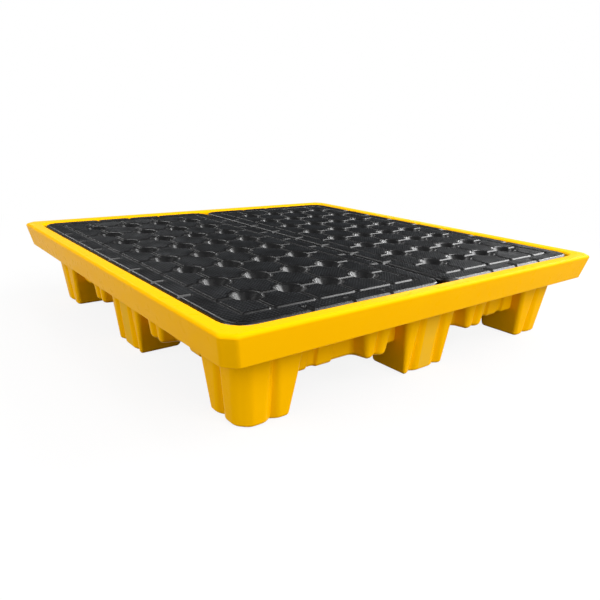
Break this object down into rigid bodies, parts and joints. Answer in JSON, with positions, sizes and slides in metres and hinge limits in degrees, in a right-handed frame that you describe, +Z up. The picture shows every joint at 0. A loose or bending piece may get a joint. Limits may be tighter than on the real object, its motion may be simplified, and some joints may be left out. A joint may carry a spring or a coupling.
{
  "type": "spill containment pallet",
  "caption": "Square moulded spill pallet with a yellow sump tray on hollow feet, lift-out black perforated deck grates and support columns below them.",
  "frame": {"origin": "on the ground under the middle of the tray", "axes": "+Z up, +X across the seam from the left grate to the right grate, +Y along the seam to the rear"},
  "size_m": [1.3, 1.3, 0.25],
  "materials": {
    "tray_yellow": "satin moulded",
    "grate_black": "textured matt",
    "column_black": "matt"
  },
  "bodies": {
    "tray": {"tray_rim": "tray_yellow", "sump_tray": "tray_yellow", "centre_foot": "tray_yellow", "side_foot_right": "tray_yellow", "side_foot_rear": "tray_yellow", "side_foot_left": "tray_yellow", "side_foot_front": "tray_yellow", "corner_foot_right_rear": "tray_yellow", "corner_foot_left_rear": "tray_yellow", "corner_foot_left_front": "tray_yellow", "corner_foot_right_front": "tray_yellow", "support_column_left_front": "column_black", "support_column_left_middle": "column_black", "support_column_left_rear": "column_black", "support_column_centre_front": "column_black", "support_column_centre_middle": "column_black", "support_column_centre_rear": "column_black", "support_column_right_front": "column_black", "support_column_right_middle": "column_black", "support_column_right_rear": "column_black"},
    "left_grate": {"deck_grate_left": "grate_black"},
    "right_grate": {"deck_grate_right": "grate_black"}
  },
  "joints": [
    {"name": "left_grate_lift", "type": "slide", "parent": "tray", "child": "left_grate", "axis": [0, 0, 1], "range_m": [0, 0.3]},
    {"name": "right_grate_lift", "type": "slide", "parent": "tray", "child": "right_grate", "axis": [0, 0, 1], "range_m": [0, 0.3]}
  ]
}
